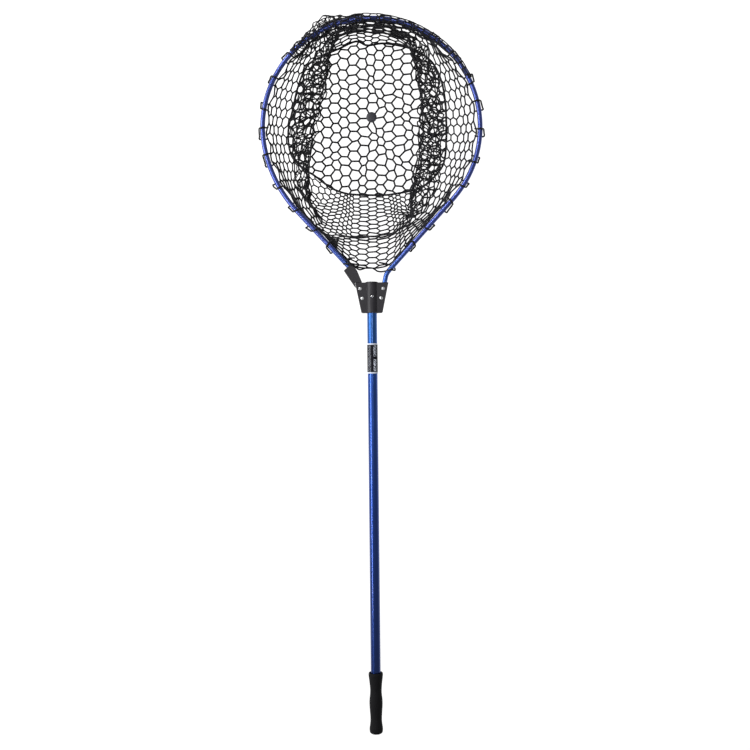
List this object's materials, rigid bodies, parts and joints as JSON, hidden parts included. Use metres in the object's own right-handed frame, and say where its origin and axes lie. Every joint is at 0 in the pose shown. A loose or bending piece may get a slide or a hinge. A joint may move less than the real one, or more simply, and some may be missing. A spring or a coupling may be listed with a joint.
{
  "type": "landing net",
  "caption": "Long-handled landing net: a round tube handle locked in a clamshell yoke that holds a teardrop tube hoop with a flat-bottomed rubber mesh bag",
  "frame": {"origin": "middle of the butt cap's flat end face", "axes": "+Y runs up the handle from the butt to the hoop's tip, +Z is the side the hoop's mouth faces, the bag hangs towards -Z, and the hoop lies in the XY plane"},
  "size_m": [0.585, 1.8677, 0.1859],
  "materials": {
    "blue_anodised": "satin",
    "black_plastic": "satin",
    "printed_sleeve": "gloss",
    "foam_grip": "matte",
    "bright_steel": "polished",
    "net_rubber": "satin"
  },
  "bodies": {
    "handle": {"handle_tube": "blue_anodised", "handle_top_plug": "black_plastic", "label_sleeve": "printed_sleeve", "grip": "foam_grip", "butt_cap": "foam_grip", "button_spring": "bright_steel"},
    "button": {"snap_button": "bright_steel"},
    "head": {"yoke_front": "black_plastic", "yoke_rear": "black_plastic", "hoop_tube": "blue_anodised", "hoop_knuckle": "black_plastic", "yoke_screw_1": "bright_steel", "yoke_screw_2": "bright_steel", "yoke_screw_3": "bright_steel", "yoke_screw_4": "bright_steel", "yoke_nut_1": "bright_steel", "yoke_nut_2": "bright_steel", "yoke_nut_3": "bright_steel", "yoke_nut_4": "bright_steel", "net_bag": "net_rubber", "net_centre_disc": "net_rubber", "net_base_cord": "net_rubber", "net_loop_01": "net_rubber", "net_loop_02": "net_rubber", "net_loop_03": "net_rubber", "net_loop_04": "net_rubber", "net_loop_05": "net_rubber", "net_loop_06": "net_rubber", "net_loop_07": "net_rubber", "net_loop_08": "net_rubber", "net_loop_09": "net_rubber", "net_loop_10": "net_rubber", "net_loop_11": "net_rubber", "net_loop_12": "net_rubber", "net_loop_13": "net_rubber", "net_loop_14": "net_rubber", "net_loop_15": "net_rubber", "net_loop_16": "net_rubber", "net_loop_17": "net_rubber", "net_loop_18": "net_rubber", "net_loop_19": "net_rubber", "net_loop_20": "net_rubber", "net_loop_21": "net_rubber", "net_loop_22": "net_rubber", "net_loop_23": "net_rubber", "net_loop_24": "net_rubber"}
  },
  "joints": [
    {"name": "button_press", "type": "slide", "parent": "handle", "child": "button", "axis": [0, 0, -1], "range_m": [0, 0.0045], "stiffness_N_per_m": 800, "springref_m": -0.0012, "deforming": ["button_spring"]},
    {"name": "head_slide", "type": "slide", "parent": "handle", "child": "head", "axis": [0, -1, 0], "range_m": [0, 0.66]}
  ]
}
